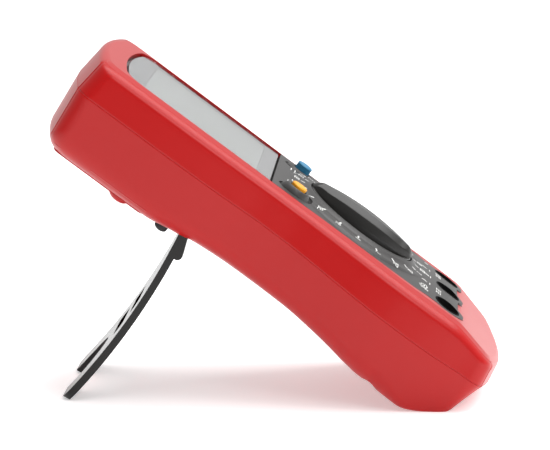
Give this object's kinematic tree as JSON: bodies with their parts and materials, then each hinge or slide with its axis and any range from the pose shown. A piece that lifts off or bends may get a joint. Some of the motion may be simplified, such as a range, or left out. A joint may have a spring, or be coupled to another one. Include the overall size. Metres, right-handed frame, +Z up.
{
  "type": "digital multimeter",
  "caption": "Hand-held digital multimeter with rotary dial, two push buttons, lead sockets and a tilt stand, leaning back on the stand.",
  "frame": {"origin": "middle of the bounding box's underside, on the table the meter stands on", "axes": "+Z up; the display faces -Y and up, leaning back on its stand; +X is the meter's right seen from its front"},
  "size_m": [0.07, 0.127, 0.0982],
  "materials": {
    "housing_red": "satin red",
    "panel_grey": "matte charcoal",
    "window_clear": "clear polished window",
    "black_plastic": "satin black",
    "button_blue": "satin blue",
    "button_yellow": "satin yellow",
    "display_glass": "grey-green display glass",
    "white_plastic": "matte white",
    "rubber_grey": "matte",
    "board_green": "green solder mask",
    "brass": "bright",
    "steel": "plated",
    "chip_black": "matte",
    "cell_jacket": "plain wrapped jacket",
    "fuse_glass": "clear",
    "rubber_black": "matte"
  },
  "bodies": {
    "housing": {"front_shell": "housing_red", "rear_shell": "housing_red", "faceplate": "panel_grey", "window_lens": "window_clear", "jack_shroud_left": "black_plastic", "jack_shroud_middle": "black_plastic", "jack_shroud_right": "black_plastic", "jack_sleeve_left": "brass", "jack_sleeve_middle": "brass", "jack_sleeve_right": "brass", "tact_switch_left": "chip_black", "tact_switch_right": "chip_black", "detent_ball_left": "steel", "detent_ball_right": "steel", "display_glass": "display_glass", "display_frame": "white_plastic", "display_contact_strip": "rubber_grey", "main_board": "board_green", "main_chip": "chip_black", "amplifier_chip": "chip_black", "buzzer_disc": "brass", "trimmer": "steel", "capacitor": "chip_black", "shunt_wire": "brass", "fuse": "fuse_glass", "fuse_clip_left": "brass", "fuse_clip_right": "brass", "battery_tray": "black_plastic", "cell_upper": "cell_jacket", "cell_lower": "cell_jacket", "cell_spring_upper": "steel", "cell_spring_lower": "steel", "cell_plate_upper": "steel", "cell_plate_lower": "steel", "battery_door": "housing_red", "door_screw": "steel", "case_screw_1": "steel", "case_screw_2": "steel", "rubber_foot_left": "rubber_black", "rubber_foot_right": "rubber_black", "stand_pin": "steel"},
    "dial": {"dial_knob": "black_plastic", "switch_rotor": "white_plastic", "wiper_1": "brass", "wiper_2": "brass", "wiper_3": "brass"},
    "button_right": {"button_right": "button_blue"},
    "button_left": {"button_left": "button_yellow"},
    "stand": {"tilt_stand": "black_plastic"}
  },
  "joints": [
    {"name": "dial_turn", "type": "hinge", "parent": "housing", "child": "dial", "pos_m": [0, -0.023, 0.04607], "axis": [0, -0.5972, 0.8021], "range_deg": [-150, 150]},
    {"name": "button_right_press", "type": "slide", "parent": "housing", "child": "button_right", "axis": [0, 0.5972, -0.8021], "range_m": [0, 0.001], "stiffness_N_per_m": 500, "springref_m": -0.0004},
    {"name": "button_left_press", "type": "slide", "parent": "housing", "child": "button_left", "axis": [0, 0.5972, -0.8021], "range_m": [0, 0.001], "stiffness_N_per_m": 500, "springref_m": -0.0004},
    {"name": "stand_hinge", "type": "hinge", "parent": "housing", "child": "stand", "pos_m": [0, 0.02429, 0.04937], "axis": [1, 0, 0], "range_deg": [-86.5, 0]}
  ]
}
